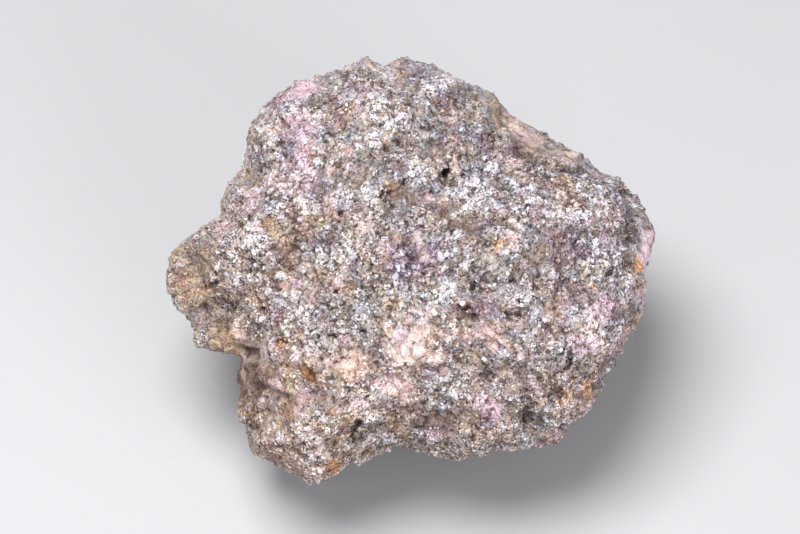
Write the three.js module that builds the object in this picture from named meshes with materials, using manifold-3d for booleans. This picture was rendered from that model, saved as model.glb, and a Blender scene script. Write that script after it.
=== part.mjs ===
// A lump of raw lepidolite, a lilac lithium mica, as it was broken from the vein: one solid piece of rock.
// It is a rounded, knobbly boulder with a lobe at its left end, a foot at its front left, a ledge at its
// right end and small pits all over. It rests on one flattened spot underneath. Millimetres, +X right, +Y
// back, +Z up.
import * as THREE from 'three';
import { mergeVertices } from 'three/addons/utils/BufferGeometryUtils.js';
import Module from 'manifold-3d';

// The broad face looks up and forward. Its outline is drawn in its own plane, from the lump's middle.
const BROAD_FACE_TILT = 48; // degrees above the horizon
const MIDDLE_HEIGHT = 25; // from the flattened spot up to the middle

// The outline of the broad face, right and up from the middle, clockwise from the nick at its top.
const OUTLINE = [
  [-4, 31], [-1.5, 32.5], [3.5, 31.5], [6.5, 29.5], [9, 28.5], [13, 27], [15, 24], [18, 22.5], [22, 20],
  [26.5, 18], [28.5, 15.5], [32.5, 13.5], [35.5, 10], [37.5, 4], [36, -0.5], [36, -5], [34.5, -9.5],
  [31, -14.3], [28.3, -19.3], [26.5, -23], [23.6, -24.6], [22.3, -26.6], [18.5, -27.6], [13.5, -27],
  [9.5, -28.5], [8, -29.5], [4.5, -29], [1.5, -28], [-2.5, -27.5], [-7, -29], [-10, -30], [-13, -32],
  [-15.5, -32.5], [-20, -30.5], [-24, -28.5], [-25.5, -25], [-26.5, -20.5], [-27, -14], [-30, -13],
  [-32.5, -12], [-34, -8.5], [-36.5, -5], [-37.5, -2], [-36.5, 2.5], [-33, 6], [-29.5, 8], [-28.5, 12.5],
  [-25.5, 15.5], [-25.5, 20.5], [-23, 24.5], [-20, 27.5], [-16.5, 29], [-11, 30.5], [-6.5, 32.5],
];

// The flattish sides that the lump broke along: which way each looks (right, back, up), and how far it is
// from the middle.
const SIDES = [
  { looks: [0.05, -0.1, 1], distance: 25.5 },
  { looks: [0, -0.72, 0.69], distance: 29.5 },
  { looks: [-0.1, -1, 0.05], distance: 31 },
  { looks: [0.05, -0.75, -0.72], distance: 28 },
  { looks: [0.1, 0.75, 0.66], distance: 31.5 },
  { looks: [-0.05, 1, 0], distance: 31.5 },
  { looks: [0.1, 0.7, -0.75], distance: 29.5 },
  { looks: [-1, 0.1, 0.1], distance: 36 },
  { looks: [1, 0.1, 0.05], distance: 37 },
  { looks: [-0.7, -0.45, 0.55], distance: 31 },
  { looks: [0.65, -0.5, 0.55], distance: 32 },
  { looks: [-0.6, 0.55, 0.6], distance: 31 },
  { looks: [0.65, 0.5, 0.55], distance: 31.5 },
  { looks: [-0.6, 0.6, -0.53], distance: 28 },
  { looks: [0.6, 0.6, -0.53], distance: 31.5 },
  { looks: [-0.65, -0.4, -0.65], distance: 29.5 },
  { looks: [0.65, -0.4, -0.65], distance: 30.5 },
  { looks: [0.3, 0.08, -1], distance: 28.5 },
  { looks: [-0.3, -0.05, -1], distance: 27.5 },
  { looks: [0.05, -0.35, -1], distance: 27 },
  { looks: [-0.05, 0.33, -1], distance: 31 },
];
const EDGE_SHARPNESS = 7; // how tightly the sides meet: higher is sharper

// Knobs all over: rounded swellings with creases between them, coarse, middling and fine.
const KNOBS = [
  { size: 13, height: 2, seed: 3 },
  { size: 7, height: 1.2, seed: 7 },
  { size: 4.5, height: 0.5, seed: 11 },
];
const KNOB_SINK = 0.6; // share of its height that each layer is sunk by, so that the lump keeps its size
const CREASE = 0.12; // how soft the creases between knobs are

// Folds on the broad face: ridges that rise and valleys that sink, each along a line from one place (right
// and up from the middle) to another.
const FOLDS = [
  { from: [-30.5, -5.5], to: [-22, -9.8], width: 1.8, rise: -1.1 },
  { from: [-26, -14], to: [-20, -21.5], width: 3.2, rise: -1 },
  { from: [-17.8, 3], to: [-15, -0.5], width: 2, rise: -0.8 },
  { from: [-4, 20.5], to: [3.5, 18], width: 1.8, rise: -0.7 },
  { from: [2, 11], to: [9.5, 6.8], width: 1.3, rise: -0.7 },
  { from: [8, -13.5], to: [12, -18], width: 1.6, rise: -0.7 },
  { from: [1, -21.5], to: [7, -24.5], width: 2, rise: -0.9 },
  { from: [16.6, -17.5], to: [17.6, -24], width: 1.5, rise: -1.2 },
  { from: [13.5, 24.5], to: [27, 16.8], width: 2.4, rise: -1 },
  { from: [33.6, 8], to: [33.6, 0.5], width: 1.2, rise: -1.3 },
  { from: [-24.5, 7], to: [-21, -2.5], width: 1.8, rise: 0.7 },
  { from: [-3.5, 25.5], to: [1, 21.5], width: 1.4, rise: 0.6 },
  { from: [-1, 17], to: [4.5, 11.5], width: 1.4, rise: 0.5 },
  { from: [-1.5, -9], to: [1.5, -14], width: 3, rise: 0.8 },
  { from: [10.5, -8.5], to: [14.5, -13.5], width: 1.3, rise: 0.5 },
  { from: [13, 20.3], to: [28.5, 14], width: 1.1, rise: 0.7 },
  { from: [32, 8.5], to: [31.8, 2.8], width: 1, rise: 0.6 },
];
const FOLD_FADE = { full: 0, gone: 0.25 }; // none at the rim, whole from this height on, given as just below

// Pits and slots. Each lies on one view of the lump: where (right and up from the middle, in that view),
// its length and width, how far the length is turned from level, and its depth.
const PITS = [
  { view: 'face', at: [5.3, 14.2], size: [3.2, 1.2], turn: 86, depth: 1.5 },
  { view: 'face', at: [7.9, 12.8], size: [2.2, 1], turn: 80, depth: 0.9 },
  { view: 'face', at: [-3.4, 11], size: [2.4, 1.6], turn: 20, depth: 0.9 },
  { view: 'face', at: [5.8, -0.8], size: [1.8, 1.4], turn: 0, depth: 1.2 },
  { view: 'face', at: [9.4, -2.2], size: [2.4, 0.9], turn: 80, depth: 1.4 },
  { view: 'face', at: [8.2, -7.2], size: [3.2, 2], turn: -20, depth: 1.4 },
  { view: 'face', at: [-30.2, -2.6], size: [3, 1], turn: 24, depth: 1.5 },
  { view: 'face', at: [-15.4, -15.9], size: [3.6, 1.3], turn: -50, depth: 1.6 },
  { view: 'face', at: [-8.3, -24.1], size: [3, 1.1], turn: 54, depth: 1.7 },
  { view: 'face', at: [11.1, -16.5], size: [2, 0.9], turn: 75, depth: 1.4 },
  { view: 'face', at: [23.7, -14], size: [4.2, 1.2], turn: 82, depth: 1.7 },
  { view: 'face', at: [22.3, -19], size: [1.8, 1], turn: 80, depth: 1.2 },
  { view: 'face', at: [17.3, -22], size: [2.4, 0.9], turn: 86, depth: 1.3 },
  { view: 'rear', at: [-12, 9], size: [3.8, 1.4], turn: 25, depth: 1.6 },
  { view: 'rear', at: [9, -4], size: [3, 1.6], turn: -40, depth: 1.6 },
  { view: 'rear', at: [18, 12], size: [2.4, 1.2], turn: 70, depth: 1.4 },
  { view: 'left', at: [6, -8], size: [3.2, 1.3], turn: 60, depth: 1.5 },
  { view: 'right', at: [-8, -3], size: [3.4, 1.3], turn: -35, depth: 1.5 },
  { view: 'right', at: [10, 7], size: [2.2, 1.3], turn: 15, depth: 1.3 },
];

// The rim is stretched to follow the outline. Its broad swells reach far onto the faces and its details
// stay near it. These are heights out of the outline's plane, as the sine of the angle: in full up to one,
// gone from the other.
const BROAD_STRETCH = { full: 0.45, gone: 1 };
const DETAIL_STRETCH = { full: 0.3, gone: 0.75 };
const BROAD_SWELL = 16; // a broad swell is the mean over this many degrees to each side
const RIM_STEPS = 180; // steps round the rim at which the stretch is worked out
const RIM_LEANS = { from: -30, to: 30, step: 5 }; // degrees out of the plane, tried for the widest place

const GRAIN_AXIS = [1, 2, 3];
const GRAIN_TURN = 0.9; // radians that the noise's lattice is turned about that axis, so no crease runs level
const NOISE_GAIN = 1.6; // brings the noise's usual range to about -1 to 1
const CORNER_PRIMES = [374761393, 668265263, 1440662683, 974634777]; // for the lattice's axes and the seed
const MIXING_PRIMES = [1274126177, 461845907];

const BALL_DETAIL = 19; // splits of each edge of the icosahedron that the lump is drawn on
const PIT_DETAIL = 1; // the same for the pits
const PIT_RAGGED = 0.45; // how uneven the pits' edges are, as a share of their size
const PIT_SEED = 5;
const MERGE = 1e-4; // corners closer than this are one
const ROCK = { color: 0xae9f9d, roughness: 0.55, metalness: 0 };
const FAR = 100; // well outside the lump: where the pits are aimed from, and half the resting slab's width

const TURN = 2 * Math.PI;
const tilt = THREE.MathUtils.degToRad(BROAD_FACE_TILT);
const faceRight = new THREE.Vector3(1, 0, 0);
const faceUp = new THREE.Vector3(0, Math.sin(tilt), Math.cos(tilt));
const faceOut = new THREE.Vector3(0, -Math.cos(tilt), Math.sin(tilt));
const skyward = new THREE.Vector3(0, 0, 1);
const VIEWS = {
  face: { right: faceRight, up: faceUp, out: faceOut },
  rear: { right: new THREE.Vector3(-1, 0, 0), up: skyward, out: new THREE.Vector3(0, 1, 0) },
  left: { right: new THREE.Vector3(0, -1, 0), up: skyward, out: new THREE.Vector3(-1, 0, 0) },
  right: { right: new THREE.Vector3(0, 1, 0), up: skyward, out: new THREE.Vector3(1, 0, 0) },
};

// A repeatable number from -1 to 1 for each corner of a lattice: its whole numbers and the seed, each times a
// prime, are joined and then mixed twice, in 32 bits.
function cornerValue(...keys) {
  let mixed = keys.reduce((joined, key, n) => joined ^ Math.imul(key, CORNER_PRIMES[n]), 0);
  mixed = Math.imul(mixed ^ (mixed >>> 13), MIXING_PRIMES[0]);
  mixed = Math.imul(mixed ^ (mixed >>> 15), MIXING_PRIMES[1]);
  return ((mixed ^ (mixed >>> 16)) >>> 0) / 2 ** 31 - 1;
}

// A step from 0 to 1 that starts and ends level.
const ease = (t) => t * t * t * (t * (t * 6 - 15) + 10);

// A corner's share of a point: nearly 1 by the corner, eased to 0 one lattice step away.
const nearness = (away) => 1 - ease(Math.abs(away));

// Smooth noise, about -1 to 1 and nought at each corner of the lattice: every corner has its own random
// slope, and the slopes' planes are blended by how near each corner is.
function noise(x, y, z, seed) {
  const i = Math.floor(x);
  const j = Math.floor(y);
  const k = Math.floor(z);
  let total = 0;
  for (let n = 0; n < 8; n += 1) {
    const corner = [i + (n & 1), j + ((n >> 1) & 1), k + (n >> 2)];
    const [a, b, c] = [x - corner[0], y - corner[1], z - corner[2]];
    const [p, q, r] = [0, 1, 2].map((axis) => cornerValue(...corner, seed + axis));
    total += nearness(a) * nearness(b) * nearness(c) * (p * a + q * b + r * c);
  }
  return total * NOISE_GAIN;
}

const grainAxis = new THREE.Vector3(...GRAIN_AXIS).normalize();
const grainTurn = new THREE.Quaternion().setFromAxisAngle(grainAxis, GRAIN_TURN);
const sides = SIDES.map(({ looks, distance }) => {
  const normal = new THREE.Vector3(...looks).normalize();
  return { normal, distance };
});

// The bare body: how far it reaches in a direction before the sides, softly joined, stop it.
function bodyReach(direction) {
  let sum = 0;
  for (const { normal, distance } of sides) {
    const facing = Math.max(0, normal.dot(direction)) / distance;
    sum += facing ** EDGE_SHARPNESS;
  }
  return sum ** (-1 / EDGE_SHARPNESS);
}

// The body with its knobs: each layer's absolute noise gives rounded tops and creased valleys.
function knobblyReach(direction) {
  const reach = bodyReach(direction);
  const at = direction.clone().multiplyScalar(reach).applyQuaternion(grainTurn);
  let grown = reach;
  for (const { size, height, seed } of KNOBS) {
    const swelling = Math.hypot(noise(at.x / size, at.y / size, at.z / size, seed), CREASE);
    grown += height * (2 * swelling - KNOB_SINK);
  }
  return grown;
}

const outline = OUTLINE.map(([x, y]) => ({ angle: Math.atan2(y, x), reach: Math.hypot(x, y) }))
  .sort((p, q) => p.angle - q.angle);

// The outline's distance from the middle at an angle, straight between its points.
function outlineReach(angle) {
  const next = outline.findIndex((p) => p.angle > angle);
  const after = outline.at(Math.max(next, 0));
  const before = outline.at(Math.max(next, 0) - 1);
  const span = (after.angle - before.angle + TURN) % TURN;
  const share = ((angle - before.angle + TURN) % TURN) / span;
  return before.reach + (after.reach - before.reach) * share;
}

// The unit direction at an angle round the outline's plane and a lean out of it.
function rimDirection(angle, lean) {
  return faceRight.clone().multiplyScalar(Math.cos(angle) * Math.cos(lean))
    .addScaledVector(faceUp, Math.sin(angle) * Math.cos(lean))
    .addScaledVector(faceOut, Math.sin(lean));
}

// How far the knobbly body reaches at an angle when seen square on to the outline's plane.
function widestReach(angle) {
  let widest = 0;
  for (let degrees = RIM_LEANS.from; degrees <= RIM_LEANS.to; degrees += RIM_LEANS.step) {
    const lean = THREE.MathUtils.degToRad(degrees);
    widest = Math.max(widest, knobblyReach(rimDirection(angle, lean)) * Math.cos(lean));
  }
  return widest;
}

// The stretch at each step round the rim, and the same smoothed to its broad swells.
const stretch = Array.from({ length: RIM_STEPS }, (_, step) => {
  const angle = (step / RIM_STEPS) * TURN;
  return outlineReach(angle > Math.PI ? angle - TURN : angle) / widestReach(angle);
});
const swell = Math.round((BROAD_SWELL / 360) * RIM_STEPS);
const broadStretch = stretch.map((_, step) => {
  let sum = 0;
  for (let off = -swell; off <= swell; off += 1) sum += stretch.at((step + off) % RIM_STEPS);
  return sum / (2 * swell + 1);
});

// The value at an angle of numbers given at even steps round a turn.
function roundTable(table, angle) {
  const place = (((angle + TURN) % TURN) / TURN) * RIM_STEPS;
  const step = Math.floor(place);
  const here = table[step % RIM_STEPS];
  return here + (table[(step + 1) % RIM_STEPS] - here) * (place - step);
}

// 1 up to the full height, eased to 0 at the height where it is gone.
function fade(height, { full, gone }) {
  return 1 - ease(THREE.MathUtils.clamp((height - full) / (gone - full), 0, 1));
}

const folds = FOLDS.map(({ from, to, width, rise }) => {
  const line = new THREE.Line3(new THREE.Vector3(...from, 0), new THREE.Vector3(...to, 0));
  return { line, width, rise };
});

// How far the folds raise or sink a place on the broad face: each one's rise, times a bell curve of the
// distance from its line.
function foldRise(place) {
  const nearest = new THREE.Vector3();
  let sum = 0;
  for (const { line, width, rise } of folds) {
    line.closestPointToPoint(place, true, nearest);
    sum += rise * Math.exp(-((nearest.distanceTo(place) / width) ** 2));
  }
  return sum;
}

// The lump's reach in a direction: the knobbly body with its rim stretched to the outline, and the folds.
function lumpReach(direction) {
  const right = direction.dot(faceRight);
  const up = direction.dot(faceUp);
  const out = direction.dot(faceOut);
  const broad = roundTable(broadStretch, Math.atan2(up, right));
  const detail = roundTable(stretch, Math.atan2(up, right)) - broad;
  const height = Math.abs(out);
  const scale = 1 + (broad - 1) * fade(height, BROAD_STRETCH) + detail * fade(height, DETAIL_STRETCH);
  const reach = knobblyReach(direction) * scale;
  return reach + foldRise(new THREE.Vector3(right, up, 0).multiplyScalar(reach)) * (1 - fade(out, FOLD_FADE));
}

// A ball of triangles, its vertices merged, with each vertex moved by place().
function ball(detail, place) {
  const geometry = new THREE.IcosahedronGeometry(1, detail);
  geometry.deleteAttribute('normal');
  geometry.deleteAttribute('uv');
  const merged = mergeVertices(geometry, MERGE);
  const corners = merged.attributes.position;
  for (let i = 0; i < corners.count; i += 1) {
    const point = place(new THREE.Vector3().fromBufferAttribute(corners, i).normalize());
    corners.setXYZ(i, point.x, point.y, point.z);
  }
  return merged;
}

// The hollow cut for a pit: a small knobbly ellipsoid whose middle lies on the lump's skin.
function pitTool({ view, at, size, turn, depth }, skin) {
  const { right, up, out } = VIEWS[view];
  const start = right.clone().multiplyScalar(at[0]).addScaledVector(up, at[1]).addScaledVector(out, FAR);
  const [hit] = new THREE.Raycaster(start, out.clone().negate()).intersectObject(skin);
  const angle = THREE.MathUtils.degToRad(turn);
  const along = right.clone().multiplyScalar(Math.cos(angle)).addScaledVector(up, Math.sin(angle));
  const across = out.clone().cross(along);
  return ball(PIT_DETAIL, (p) => {
    const ragged = 1 + PIT_RAGGED * noise(p.x + at[0], p.y + at[1], p.z, PIT_SEED);
    return hit.point.clone()
      .addScaledVector(along, p.x * ragged * size[0] / 2)
      .addScaledVector(across, p.y * ragged * size[1] / 2)
      .addScaledVector(out, p.z * depth);
  });
}

const wasm = await Module();
wasm.setup();

function solidOf(geometry) {
  return new wasm.Manifold(new wasm.Mesh({
    numProp: 3,
    vertProperties: new Float32Array(geometry.attributes.position.array),
    triVerts: new Uint32Array(geometry.index.array),
  }));
}

function geometryOf(solid) {
  const mesh = solid.getMesh();
  const geometry = new THREE.BufferGeometry();
  geometry.setAttribute('position', new THREE.BufferAttribute(mesh.vertProperties, 3));
  geometry.setIndex(new THREE.BufferAttribute(mesh.triVerts, 1));
  return geometry;
}

// The slab that flattens the underside, its top where the table is.
function restingCut() {
  const slab = new THREE.BoxGeometry(2 * FAR, 2 * FAR, FAR);
  slab.deleteAttribute('normal');
  slab.deleteAttribute('uv');
  return mergeVertices(slab.translate(0, 0, -MIDDLE_HEIGHT - FAR / 2), MERGE);
}

function lepidoliteLump() {
  const shape = ball(BALL_DETAIL, (direction) => direction.clone().multiplyScalar(lumpReach(direction)));
  const skin = new THREE.Mesh(shape);
  let solid = solidOf(skin.geometry);
  for (const pit of PITS) solid = solid.subtract(solidOf(pitTool(pit, skin)));
  const geometry = geometryOf(solid.subtract(solidOf(restingCut())));
  geometry.computeBoundingBox();
  const { min, max } = geometry.boundingBox;
  geometry.translate(-(min.x + max.x) / 2, -(min.y + max.y) / 2, -min.z);
  geometry.computeVertexNormals();
  const mesh = new THREE.Mesh(geometry, new THREE.MeshStandardMaterial(ROCK));
  mesh.name = 'lepidolite_lump';
  return mesh;
}

const specimen = new THREE.Group();
specimen.add(lepidoliteLump());

export default specimen;
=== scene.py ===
import math

import bpy
import numpy as np
from bpy.props import FloatProperty, FloatVectorProperty, IntProperty, PointerProperty
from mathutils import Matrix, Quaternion, Vector


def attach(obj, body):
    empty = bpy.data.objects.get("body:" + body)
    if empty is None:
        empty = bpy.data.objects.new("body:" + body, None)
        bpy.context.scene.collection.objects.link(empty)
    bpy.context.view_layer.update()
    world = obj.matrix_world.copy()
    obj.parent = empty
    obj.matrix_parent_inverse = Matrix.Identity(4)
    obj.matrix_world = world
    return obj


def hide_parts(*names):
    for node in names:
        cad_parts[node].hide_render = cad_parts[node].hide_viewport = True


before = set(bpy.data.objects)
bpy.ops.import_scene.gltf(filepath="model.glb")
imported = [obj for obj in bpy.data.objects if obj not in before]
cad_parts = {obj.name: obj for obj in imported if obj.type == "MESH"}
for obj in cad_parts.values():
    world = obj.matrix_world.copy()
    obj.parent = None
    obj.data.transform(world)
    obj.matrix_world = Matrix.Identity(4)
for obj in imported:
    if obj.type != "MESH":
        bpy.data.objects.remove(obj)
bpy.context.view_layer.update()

bl_info = {
    "name": "Raw lepidolite",
    "version": (1, 0, 0),
    "blender": (4, 5, 0),
    "location": "View3D > Sidebar > Lepidolite",
    "description": "A lump of raw lepidolite: its skin, mica flakes and mineral grains, on a pale floor",
    "category": "Object",
}

MM = 0.001
TURN = 2 * math.pi
NODE = "lepidolite_lump"
SKIN = "lepidolite_skin"
BAKE_MAP = "OFBake"

# The lump's shape, in millimetres, is its solid's. The broad face looks up and forward. Places on it are right and up
# from the lump's middle, in the face's own plane.
BROAD_FACE_TILT = 48
MIDDLE = np.array([-0.18, 1.82, 25.0])  # where the lump's middle stands in the frame

# The outline of the broad face, clockwise from the nick at its top.
OUTLINE = [
    (-4, 31), (-1.5, 32.5), (3.5, 31.5), (6.5, 29.5), (9, 28.5), (13, 27), (15, 24), (18, 22.5), (22, 20),
    (26.5, 18), (28.5, 15.5), (32.5, 13.5), (35.5, 10), (37.5, 4), (36, -0.5), (36, -5), (34.5, -9.5),
    (31, -14.3), (28.3, -19.3), (26.5, -23), (23.6, -24.6), (22.3, -26.6), (18.5, -27.6), (13.5, -27),
    (9.5, -28.5), (8, -29.5), (4.5, -29), (1.5, -28), (-2.5, -27.5), (-7, -29), (-10, -30), (-13, -32),
    (-15.5, -32.5), (-20, -30.5), (-24, -28.5), (-25.5, -25), (-26.5, -20.5), (-27, -14), (-30, -13),
    (-32.5, -12), (-34, -8.5), (-36.5, -5), (-37.5, -2), (-36.5, 2.5), (-33, 6), (-29.5, 8), (-28.5, 12.5),
    (-25.5, 15.5), (-25.5, 20.5), (-23, 24.5), (-20, 27.5), (-16.5, 29), (-11, 30.5), (-6.5, 32.5),
]

# The flattish sides: which way each looks (right, back, up), and its distance from the middle.
SIDES = [
    (0.05, -0.1, 1, 25.5), (0, -0.72, 0.69, 29.5), (-0.1, -1, 0.05, 31), (0.05, -0.75, -0.72, 28),
    (0.1, 0.75, 0.66, 31.5), (-0.05, 1, 0, 31.5), (0.1, 0.7, -0.75, 29.5), (-1, 0.1, 0.1, 36), (1, 0.1, 0.05, 37),
    (-0.7, -0.45, 0.55, 31), (0.65, -0.5, 0.55, 32), (-0.6, 0.55, 0.6, 31), (0.65, 0.5, 0.55, 31.5),
    (-0.6, 0.6, -0.53, 28), (0.6, 0.6, -0.53, 31.5), (-0.65, -0.4, -0.65, 29.5), (0.65, -0.4, -0.65, 30.5),
    (0.3, 0.08, -1, 28.5), (-0.3, -0.05, -1, 27.5), (0.05, -0.35, -1, 27), (-0.05, 0.33, -1, 31),
]
EDGE_SHARPNESS = 7

# Knobs: size, height and seed of each layer.
KNOBS = [(13, 2, 3), (7, 1.2, 7), (4.5, 0.5, 11)]
KNOB_SINK = 0.6
CREASE = 0.12

# Ridges and valleys on the broad face: from one place to another, the width, and how far it rises or sinks.
FOLDS = [
    (-30.5, -5.5, -22, -9.8, 1.8, -1.1), (-26, -14, -20, -21.5, 3.2, -1), (-17.8, 3, -15, -0.5, 2, -0.8),
    (-4, 20.5, 3.5, 18, 1.8, -0.7), (2, 11, 9.5, 6.8, 1.3, -0.7), (8, -13.5, 12, -18, 1.6, -0.7),
    (1, -21.5, 7, -24.5, 2, -0.9), (16.6, -17.5, 17.6, -24, 1.5, -1.2), (13.5, 24.5, 27, 16.8, 2.4, -1),
    (33.6, 8, 33.6, 0.5, 1.2, -1.3), (-24.5, 7, -21, -2.5, 1.8, 0.7), (-3.5, 25.5, 1, 21.5, 1.4, 0.6),
    (-1, 17, 4.5, 11.5, 1.4, 0.5), (-1.5, -9, 1.5, -14, 3, 0.8), (10.5, -8.5, 14.5, -13.5, 1.3, 0.5),
    (13, 20.3, 28.5, 14, 1.1, 0.7), (32, 8.5, 31.8, 2.8, 1, 0.6),
]
# Creases that only the skin has.
CREASES = [
    (14.6, 22, 16.2, 18.6, 0.5, -0.5), (16.2, 18.6, 19, 16, 0.5, -0.7), (19, 16, 24.5, 15.2, 0.5, -0.7),
    (24.5, 15.2, 29.5, 14.4, 0.5, -0.5), (33.7, 10, 32.8, 4.5, 0.5, -0.8), (-14, 12.8, -11.8, 12, 0.35, -0.4),
    (4.8, 8, 10, 5.2, 0.5, -0.5), (-6, -24, 1, -26.5, 0.6, -0.5), (-24, -17.5, -19, -19.5, 0.5, -0.5),
    (-28.5, -11.5, -23.5, -13, 0.5, -0.5),
]
FOLD_FADE = 0.25  # folds are whole from this height out of the outline's plane on, as the sine of the angle

# Pits and slots by the view each lies on: its place there, its length and width, its turn in degrees and its depth.
PITS = {
    "face": [
        (5.3, 14.2, 3.2, 1.2, 86, 1.5), (7.9, 12.8, 2.2, 1, 80, 0.9), (-3.4, 11, 2.4, 1.6, 20, 0.9),
        (5.8, -0.8, 1.8, 1.4, 0, 1.2), (9.4, -2.2, 2.4, 0.9, 80, 1.4), (8.2, -7.2, 3.2, 2, -20, 1.4),
        (-30.2, -2.6, 3, 1, 24, 1.5), (-15.4, -15.9, 3.6, 1.3, -50, 1.6), (-8.3, -24.1, 3, 1.1, 54, 1.7),
        (11.1, -16.5, 2, 0.9, 75, 1.4), (23.7, -14, 4.2, 1.2, 82, 1.7), (22.3, -19, 1.8, 1, 80, 1.2),
        (17.3, -22, 2.4, 0.9, 86, 1.3),
    ],
    "rear": [
        (-12, 9, 3.8, 1.4, 25, 1.6), (9, -4, 3, 1.6, -40, 1.6), (18, 12, 2.4, 1.2, 70, 1.4),
    ],
    "left": [
        (6, -8, 3.2, 1.3, 60, 1.5),
    ],
    "right": [
        (-8, -3, 3.4, 1.3, -35, 1.5), (10, 7, 2.2, 1.3, 15, 1.3),
    ],
}
# Finer ones on the broad face that only the skin has.
SLOTS = [
    (-0.9, 13, 1.2, 0.5, 60, 0.8), (-4.2, 11.6, 1.7, 0.5, 80, 0.8), (1.6, 6.1, 1, 0.7, -30, 0.7),
    (0.1, 7.3, 1, 0.45, -45, 0.6), (-11.9, 6.9, 1, 0.5, 20, 0.6), (-10.7, 8.2, 1.1, 0.45, -20, 0.6),
    (-8.6, 18.2, 1.4, 0.45, -50, 0.6), (20.1, -8.8, 1.1, 0.6, -15, 0.7), (16.9, -6.6, 1.1, 0.4, -55, 0.6),
    (13.8, -14.1, 0.6, 0.6, 0, 0.7), (28.9, -1.4, 1.3, 0.5, 62, 0.8), (7.6, -6.2, 2.8, 0.9, 2, 1.2),
    (-23.7, 1.1, 1.1, 0.8, 0, 0.8), (-24.1, 7.6, 1.7, 0.5, 80, 0.8), (-21, 4.7, 0.9, 0.6, 0, 0.6),
    (-19.4, -10.5, 2.1, 0.6, -80, 0.8), (-16.2, -13, 1.8, 0.4, 85, 0.6), (-11.8, -21.6, 1, 0.5, 80, 0.6),
    (23.3, 9.4, 2.8, 0.45, 5, 0.6), (16.8, -19, 2.4, 0.6, 78, 0.8),
]
HOLLOWS = [(view, pit[:2], pit[2:4], *pit[4:]) for view, pits in (*PITS.items(), ("face", SLOTS)) for pit in pits]
# Pinholes: the noise's size and seed, the level where they start, how far above it they are whole, and their depth.
PINHOLES = (1.1, 29, 0.45, 0.3, 0.7)
PIT_RAGGED = 0.4
PIT_NARROW = (1, 0.8)  # the skin's pits have this share of the solid's length and width
PIT_SLANT = 0.6  # by this share a pit is deeper at one long side, and shallower at the other
PIT_SEED = 5

# How far onto the faces the rim's stretch reaches, as the sine of the angle out of the outline's plane.
BROAD_STRETCH = (0.45, 1)
DETAIL_STRETCH = (0.3, 0.75)
BROAD_SWELL = 16
RIM_STEPS = 180
RIM_LEANS = (-30, 30, 5)

GRAIN_AXIS = (1, 2, 3)
GRAIN_TURN = 0.9
NOISE_GAIN = 1.6

# Finer relief that only the skin has: size, height and seed of each layer.
RELIEF = [(2.8, 0.5, 21), (1.5, 0.34, 23), (0.95, 0.2, 27)]
WORN_EVEN = 0.5  # by this share it is lower where the rock is worn

# The skin's corners are drawn together on the broad face and round each pit, as far from it as the first number plus
# the second times its length.
FACE_PULL = 0.25
PIT_PULL = 0.5
PIT_PULL_MOST = 0.6
PIT_REACH = (1, 0.6)

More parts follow.
